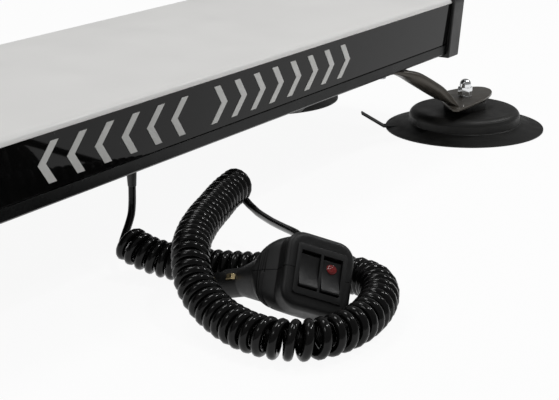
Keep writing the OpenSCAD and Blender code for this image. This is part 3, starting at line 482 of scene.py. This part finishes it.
def leg_rings(sides=56):
    rows = np.array(LEG_RINGS, float)
    low = LEAF_Z + LEAF_T / 2
    rows[:, 2] = low + rows[:, 2] * (TAB_Z - low)
    rows = np.vstack([rows[:2], curve_through(rows[1:-1], 2.2)[1:], rows[-1:]])
    middle = rows[:, :3]
    along = np.gradient(middle, axis=0)
    rings = []
    for q, t in zip(rows, along):
        s = np.array([math.cos(math.radians(q[5])), math.sin(math.radians(q[5])), 0])
        u = np.cross(t / np.linalg.norm(t), s)
        u /= np.linalg.norm(u)
        ring = []
        for k in range(sides):
            a = 2 * math.pi * (k + 0.5) / sides
            ca, sa = math.cos(a), math.sin(a)
            dip = q[7] * max(0.0, 1 - (ca / 0.55) ** 2) if sa > 0 else 0.0
            wide = math.copysign(abs(ca) ** q[6], ca)
            tall = math.copysign(abs(sa) ** q[6], sa)
            ring.append(q[:3] + s * q[3] * wide + u * q[4] * tall * (1 - dip))
        rings.append(ring)
    return rings


def make_leg(name, sx, sy):
    """Pressed steel leg with a groove along its top, running into its flat leaf on the foot."""
    bm = loft(leg_rings())
    points = curve_through([(x, y, 0) for x, y in [*LEAF_OUTLINE, LEAF_OUTLINE[0]]], 3)[:-1]
    leaf = loft([[(x, y, z) for x, y, _ in points] for z in (LEAF_Z, LEAF_Z + LEAF_T)])
    round_edges(leaf, 0.9, 3, 60)
    part = bpy.data.meshes.new("leaf")
    leaf.to_mesh(part)
    leaf.free()
    bm.from_mesh(part)
    bpy.data.meshes.remove(part)
    bm.transform(foot_place(sx, sy))
    if sx * sy < 0:
        bmesh.ops.reverse_faces(bm, faces=bm.faces)
    return dress(mesh_object(name + "_pressing", bm, sharp=40), "bar", "leg_metal", name)


# ---------------------------------------------------------------- finishes


def node(tree, kind, inputs=None, **values):
    n = tree.nodes.new("ShaderNode" + kind)
    for k, v in values.items():
        setattr(n, k, v)
    for k, v in (inputs or {}).items():
        if isinstance(v, bpy.types.NodeSocket):
            tree.links.new(v, n.inputs[k])
        else:
            n.inputs[k].default_value = v
    return n


def finish(
    slot, colour, rough, metal=0.0, spec=0.5, coat=0.0, cloud=(14, 0.12), grain=(1800, 0.08),
    uneven=0.06, stretch=(1, 1, 1), specks=0.0, edge=0.0, cells=None,
):
    """Finish of one slot: colour that drifts a little, uneven gloss, fine relief, dust specks, softened edges."""
    mat = bpy.data.materials.new(slot)
    mat.use_nodes = True
    tree = mat.node_tree
    shader = tree.nodes["Principled BSDF"]
    shader.inputs["Metallic"].default_value = metal
    shader.inputs["Specular IOR Level"].default_value = spec
    shader.inputs["Coat Weight"].default_value = coat
    shader.inputs["Coat Roughness"].default_value = 0.08
    spot = node(tree, "TexCoord").outputs["Object"]
    spread = node(tree, "Mapping", {"Vector": spot, "Scale": stretch}).outputs["Vector"]
    drift = node(tree, "TexNoise", {"Vector": spread, "Scale": cloud[0], "Detail": 4, "Roughness": 0.6})
    low = [c * (1 - cloud[1]) for c in colour] + [1]
    high = [min(1, c * (1 + cloud[1])) for c in colour] + [1]
    ramp = node(tree, "ValToRGB", {"Fac": drift.outputs["Fac"]})
    ramp.color_ramp.elements[0].position, ramp.color_ramp.elements[0].color = 0.3, low
    ramp.color_ramp.elements[1].position, ramp.color_ramp.elements[1].color = 0.7, high
    shade = ramp.outputs["Color"]
    if specks:
        dots = node(tree, "TexVoronoi", {"Vector": spot, "Scale": 150, "Randomness": 1})
        small = node(tree, "Math", {0: dots.outputs["Distance"], 1: 0.05}, operation="LESS_THAN")
        few = node(tree, "TexNoise", {"Vector": spot, "Scale": 37, "Detail": 1})
        gate = node(tree, "Math", {0: few.outputs["Fac"], 1: 0.6}, operation="GREATER_THAN")
        both = node(tree, "Math", {0: small.outputs[0], 1: gate.outputs[0]}, operation="MULTIPLY")
        weight = node(tree, "Math", {0: both.outputs[0], 1: specks}, operation="MULTIPLY")
        mix = node(tree, "Mix", {0: weight.outputs[0], 6: shade, 7: (0.25, 0.25, 0.24, 1)}, data_type="RGBA")
        shade = mix.outputs[2]
    tree.links.new(shade, shader.inputs["Base Color"])
    patch = node(tree, "TexNoise", {"Vector": spread, "Scale": cloud[0] * 3.1, "Detail": 3})
    gloss = node(
        tree, "MapRange",
        {0: patch.outputs["Fac"], 1: 0.3, 2: 0.7, 3: max(0.02, rough - uneven), 4: rough + uneven},
    )
    tree.links.new(gloss.outputs[0], shader.inputs["Roughness"])
    relief = node(tree, "TexNoise", {"Vector": spread, "Scale": grain[0], "Detail": 2}).outputs["Fac"]
    if cells:
        pits = node(tree, "TexVoronoi", {"Vector": spot, "Scale": cells}, feature="SMOOTH_F1")
        relief = pits.outputs["Distance"]
    bump = node(tree, "Bump", {"Strength": grain[1], "Distance": 0.0004, "Height": relief})
    if edge:
        soft = node(tree, "Bevel", {"Radius": edge * MM}, samples=4)
        tree.links.new(soft.outputs["Normal"], bump.inputs["Normal"])
    tree.links.new(bump.outputs["Normal"], shader.inputs["Normal"])
    return mat


FINISH = {
    m.name.split(".")[0]: m
    for m in (
        finish(
            "pan_black", (0.008, 0.0085, 0.0085), 0.3, spec=0.14, uneven=0.05, specks=0.6,
            edge=0.6, grain=(2600, 0.06),
        ),
        finish(
            "cover_white", (0.85, 0.845, 0.83), 0.42, cloud=(5, 0.015), grain=(1500, 0.05),
            edge=0.8,
        ),
        finish(
            "window_smoked", (0.004, 0.004, 0.004), 0.035, spec=0.15, uneven=0.012,
            grain=(9, 0.05), specks=0.25, edge=0.3,
        ),
        finish("legend_white", (0.66, 0.66, 0.64), 0.5, cloud=(60, 0.02), grain=(2200, 0.05)),
        finish("cap_black", (0.013, 0.013, 0.013), 0.45, grain=(2400, 0.16), edge=0.7),
        finish("seal_rubber", (0.02, 0.02, 0.02), 0.75, grain=(1500, 0.2)),
        finish(
            "steel", (0.55, 0.56, 0.57), 0.28, metal=1, stretch=(1, 1, 12), grain=(900, 0.05),
            edge=0.3,
        ),
        finish(
            "carrier_aluminium", (0.62, 0.63, 0.64), 0.38, metal=1, stretch=(1, 30, 30),
            grain=(160, 0.06),
        ),
        finish("board_green", (0.02, 0.11, 0.045), 0.35, cloud=(90, 0.2), grain=(700, 0.12)),
        finish("lamp_yellow", (0.75, 0.6, 0.2), 0.3, grain=(900, 0.1)),
        finish("parts_black", (0.02, 0.02, 0.022), 0.4, grain=(1500, 0.12)),
        finish("terminal_green", (0.03, 0.22, 0.07), 0.42, grain=(1500, 0.1)),
        finish(
            "cord_black", (0.003, 0.003, 0.003), 0.16, spec=0.22, uneven=0.06, cloud=(40, 0.25),
            grain=(520, 0.07),
        ),
        finish("wire_red", (0.4, 0.02, 0.015), 0.35, grain=(900, 0.06)),
        finish("gland_black", (0.014, 0.014, 0.014), 0.45, grain=(2200, 0.16)),
        finish(
            "leg_metal", (0.075, 0.066, 0.054), 0.36, metal=0.4, spec=0.6, cloud=(35, 0.2),
            grain=(2400, 0.1),
        ),
        finish(
            "skirt_rubber", (0.0055, 0.0055, 0.005), 0.5, spec=0.3, cloud=(22, 0.25),
            grain=(1300, 0.14), uneven=0.08,
        ),
        finish(
            "housing_rubber", (0.0075, 0.0074, 0.0066), 0.46, spec=0.35, cloud=(18, 0.2),
            grain=(1900, 0.16), uneven=0.07,
        ),
        finish("magnet_grey", (0.12, 0.12, 0.125), 0.5, metal=0.6, grain=(900, 0.2)),
        finish(
            "nut_chrome", (0.82, 0.83, 0.84), 0.1, metal=1, grain=(300, 0.03), uneven=0.04,
            edge=0.4,
        ),
        finish(
            "plug_black", (0.0065, 0.0066, 0.0068), 0.43, spec=0.3, cloud=(70, 0.14),
            grain=(3600, 0.22), uneven=0.06,
        ),
        finish(
            "bezel_black", (0.0105, 0.0107, 0.011), 0.44, spec=0.3, cloud=(90, 0.12),
            grain=(3200, 0.2),
        ),
        finish(
            "rocker_black", (0.0075, 0.0075, 0.0078), 0.4, spec=0.3, cloud=(90, 0.1),
            grain=(3400, 0.1),
        ),
        finish(
            "lens_red", (0.19, 0.006, 0.006), 0.2, spec=0.4, coat=0.2, cloud=(420, 0.4),
            grain=(1, 0.7), cells=950,
        ),
        finish(
            "contact_brass", (0.62, 0.5, 0.28), 0.3, metal=1, cloud=(160, 0.2), grain=(900, 0.1),
            edge=0.3,
        ),
        finish("fuse_glass", (0.5, 0.52, 0.52), 0.15, grain=(600, 0.05)),
    )
}


def dress_frame():
    """The record's own slots name the finish of each CAD solid."""
    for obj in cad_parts.values():
        for s in obj.material_slots:
            s.material = FINISH[s.material.name.split(".")[0]]


# ---------------------------------------------------------------- floor and light


def make_floor():
    mesh = bpy.data.meshes.new("floor")
    r = 12
    mesh.from_pydata([(-r, -r, -0.0003), (r, -r, -0.0003), (r, r, -0.0003), (-r, r, -0.0003)], [], [(0, 1, 2, 3)])
    floor = new_object("floor", mesh)
    mat = bpy.data.materials.new("floor_paper")
    mat.use_nodes = True
    tree = mat.node_tree
    tree.nodes.clear()
    paper = node(tree, "TexNoise", {"Scale": 3, "Detail": 2})
    tone = node(tree, "MapRange", {0: paper.outputs["Fac"], 3: 0.9, 4: 0.93})
    matte = node(tree, "BsdfDiffuse", {"Color": tone.outputs[0]})
    white = node(tree, "Emission", {"Color": (1, 1, 1, 1), "Strength": 1.0})
    path = node(tree, "LightPath")
    seen = node(tree, "Math", {0: path.outputs["Is Camera Ray"], 1: path.outputs["Is Glossy Ray"]}, operation="MAXIMUM")
    seen = node(tree, "Math", {0: seen.outputs[0], 1: path.outputs["Is Transmission Ray"]}, operation="MAXIMUM")
    share = node(tree, "Math", {0: seen.outputs[0], 1: 0.93}, operation="MULTIPLY")
    mixed = node(tree, "MixShader", {0: share.outputs[0], 1: matte.outputs[0], 2: white.outputs[0]})
    out = node(tree, "OutputMaterial", {"Surface": mixed.outputs[0]})
    assert out
    mesh.materials.append(mat)


def lamp(name, at, toward, size, watts):
    data = bpy.data.lights.new(name, "AREA")
    data.shape = "RECTANGLE"
    data.size, data.size_y = size
    data.energy = watts
    obj = bpy.data.objects.new(name, data)
    bpy.context.collection.objects.link(obj)
    obj.location = at
    obj.rotation_euler = (Vector(toward) - Vector(at)).to_track_quat("-Z", "Y").to_euler()


def make_light():
    world = bpy.data.worlds.new("studio")
    world.use_nodes = True
    world.node_tree.nodes["Background"].inputs["Color"].default_value = (1, 1, 1, 1)
    world.node_tree.nodes["Background"].inputs["Strength"].default_value = 0.24
    bpy.context.scene.world = world
    aim = (0, -0.1, 0.05)
    lamp("key", (0.45, -0.95, 2.3), aim, (0.2, 0.25), 13)
    lamp("side", (1.5, -0.9, 1.4), aim, (0.2, 0.2), 6)
    lamp("rear", (0.3, 0.9, 2.4), aim, (0.9, 0.5), 15)
    lamp("left", (-1.6, 0.3, 1.9), aim, (0.6, 0.4), 7)
    bpy.context.scene.view_settings.view_transform = "Standard"


# ---------------------------------------------------------------- making

LEGS = {
    "leg_front_right": (1, 1), "leg_front_left": (-1, 1),
    "leg_rear_right": (1, -1), "leg_rear_left": (-1, -1),
}

make_camera()
cord, cord_points = make_cord()
dress_frame()
plug = [
    plug_half("plug_head_upper", 1, "plug_shell_upper"),
    plug_half("plug_head_lower", -1, "plug_shell_lower"),
    make_rocker("rocker_key_front", -1, "rocker_front"),
    make_rocker("rocker_key_rear", 1, "rocker_rear"),
    make_bezel(),
    make_lens(),
]
for leg_name, (leg_sx, leg_sy) in LEGS.items():
    make_leg(leg_name, leg_sx, leg_sy)
make_floor()
make_light()
